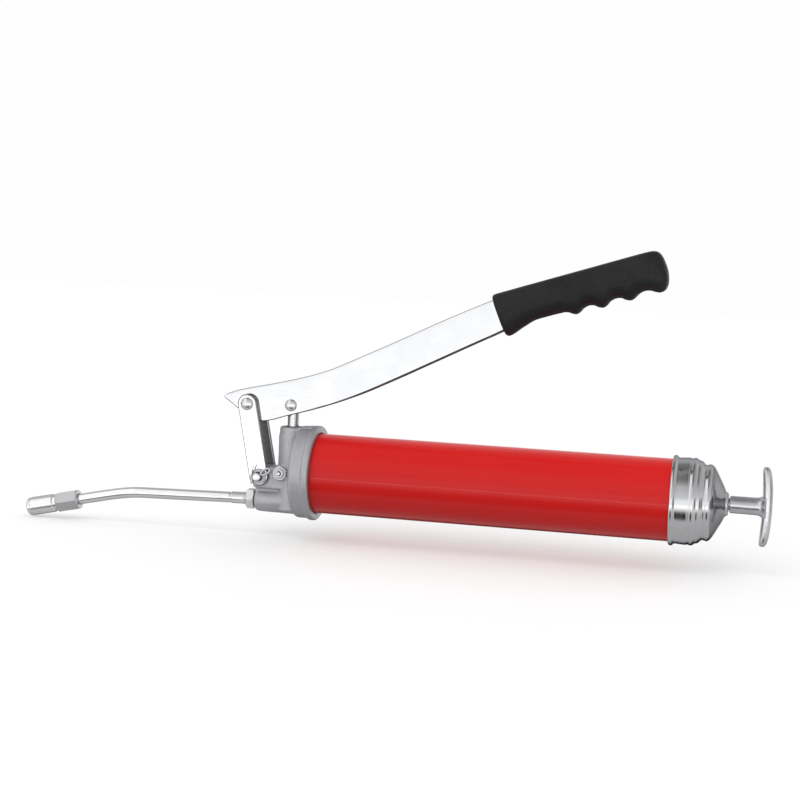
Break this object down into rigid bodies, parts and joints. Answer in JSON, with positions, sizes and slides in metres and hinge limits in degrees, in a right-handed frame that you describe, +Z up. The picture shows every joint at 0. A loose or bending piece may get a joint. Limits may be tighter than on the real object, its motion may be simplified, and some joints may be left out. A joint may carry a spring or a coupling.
{
  "type": "grease gun",
  "caption": "Lever-action cartridge grease gun with a rigid bent spout, grease coupler, linked pump lever with moulded grip, and a spring-loaded follower drawn back by a T-handle.",
  "frame": {"origin": "centre of the bottom of the bounding box, at rest", "axes": "+X along the barrel from the pump head to the T-handle, +Z up along the pump plunger, so that the lever swings in the X-Z plane"},
  "size_m": [0.542, 0.0678, 0.2171],
  "materials": {
    "red_enamel": "gloss enamel",
    "cast_alloy": "as cast, satin",
    "bright_chrome": "bright plated",
    "zinc_plate": "zinc plated",
    "bright_steel": "ground",
    "spring_steel": "oiled wire",
    "black_rubber": "matt",
    "black_vinyl": "matt, dipped"
  },
  "bodies": {
    "gun_body": {"pump_head": "cast_alloy", "plunger_seal": "black_rubber", "outlet_check_spring": "spring_steel", "spout_nut": "zinc_plate", "spout_tube": "bright_steel", "coupler_body": "zinc_plate", "coupler_sleeve": "zinc_plate", "coupler_spring": "spring_steel", "bleed_valve_body": "zinc_plate", "barrel_tube": "red_enamel", "barrel_gasket": "black_rubber", "end_cap": "bright_chrome", "follower_spring": "spring_steel"},
    "check_valve": {"outlet_check_ball": "bright_steel"},
    "coupler_jaws": {"coupler_collet": "bright_steel", "coupler_seal": "black_rubber"},
    "bleed_button": {"bleed_valve_stem": "bright_steel"},
    "plunger": {"plunger_rod": "bright_steel"},
    "lever": {"lever_channel": "bright_chrome", "lever_grip": "black_vinyl", "plunger_pin": "bright_chrome"},
    "link": {"link_plate_near": "bright_chrome", "link_plate_far": "bright_chrome", "link_pin_top": "bright_chrome", "link_spacer_near": "zinc_plate", "link_spacer_far": "zinc_plate", "link_pin_bottom": "zinc_plate", "link_washer": "zinc_plate", "link_cotter_pin": "spring_steel"},
    "follower": {"follower_cup": "black_rubber", "follower_plate": "zinc_plate"},
    "follower_pull": {"follower_rod": "bright_steel", "follower_washer": "zinc_plate", "follower_nut": "zinc_plate", "t_handle": "zinc_plate"}
  },
  "joints": [
    {"name": "lever_pivot", "type": "hinge", "parent": "plunger", "child": "lever", "pos_m": [-0.06827, 0, 0.09604], "axis": [0, -1, 0], "range_deg": [-13, 40]},
    {"name": "plunger_slide", "type": "slide", "parent": "gun_body", "child": "plunger", "axis": [0, 0, 1], "range_m": [-0.00681, 0.02095]},
    {"name": "link_pivot", "type": "hinge", "parent": "lever", "child": "link", "pos_m": [-0.09977, 0, 0.09534], "axis": [0, -1, 0], "range_deg": [-46.01, 14.96]},
    {"name": "follower_slide", "type": "slide", "parent": "gun_body", "child": "follower", "axis": [1, 0, 0], "range_m": [0, 0.215], "deforming": ["follower_spring"]},
    {"name": "rod_turn", "type": "hinge", "parent": "follower", "child": "follower_pull", "pos_m": [0.24263, 0, 0.04784], "axis": [1, 0, 0], "continuous": true},
    {"name": "check_ball_slide", "type": "slide", "parent": "gun_body", "child": "check_valve", "axis": [-1, 0, 0], "range_m": [0, 0.0013], "deforming": ["outlet_check_spring"]},
    {"name": "jaw_slide", "type": "slide", "parent": "gun_body", "child": "coupler_jaws", "axis": [0.9767, 0, 0.2147], "range_m": [0, 0.0015], "deforming": ["coupler_spring"]},
    {"name": "bleed_press", "type": "slide", "parent": "gun_body", "child": "bleed_button", "axis": [0, 1, 0], "range_m": [0, 0.0012]}
  ],
  "couplings": [
    {"joint": "plunger_slide", "follows": "lever_pivot", "m_per_rad": 0.03},
    {"joint": "link_pivot", "follows": "lever_pivot", "ratio": -1.15}
  ]
}
